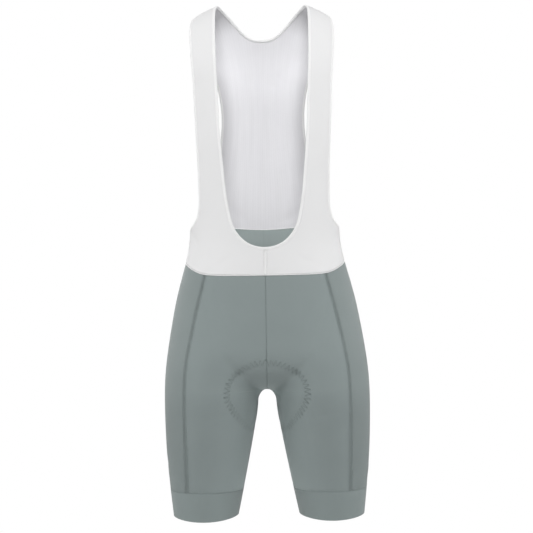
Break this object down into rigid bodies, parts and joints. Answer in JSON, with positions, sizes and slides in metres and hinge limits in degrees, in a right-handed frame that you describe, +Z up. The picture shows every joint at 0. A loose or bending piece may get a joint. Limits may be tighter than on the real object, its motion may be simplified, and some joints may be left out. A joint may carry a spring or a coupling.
{
  "type": "cycling bib shorts",
  "caption": "Close-fitting bib shorts with wide shoulder straps, deep scooped front, broad back panel, banded legs and a stitched-in seat pad, filled out as if worn.",
  "frame": {"origin": "midway between the two shoulder straps, level with the undersides of their inner edges at the top of the shoulders, where the wearer carries the garment", "axes": "+Z up along the wearer's body, the front faces -Y, +X is the wearer's left"},
  "size_m": [0.369, 0.2401, 0.9202],
  "materials": {
    "white_knit": "matt white warp knit",
    "white_mesh": "matt white ribbed mesh knit",
    "white_tape": "smooth white folded elastic tape",
    "sage_knit": "matt sage grey stretch knit with a faint sheen",
    "sage_band": "smooth double stretch band, sage grey",
    "pad_foam": "brushed microfibre over foam, dark grey"
  },
  "bodies": {
    "root": {"bib_front_l": "white_knit", "bib_front_r": "white_knit", "bib_back": "white_mesh", "neck_tape": "white_tape", "arm_tape_l": "white_tape", "arm_tape_r": "white_tape", "short_front_l": "sage_knit", "short_front_r": "sage_knit", "short_side_l": "sage_knit", "short_side_r": "sage_knit", "short_back_l": "sage_knit", "short_back_r": "sage_knit", "leg_band_l": "sage_band", "leg_band_r": "sage_band", "seat_pad": "pad_foam"}
  },
  "joints": []
}
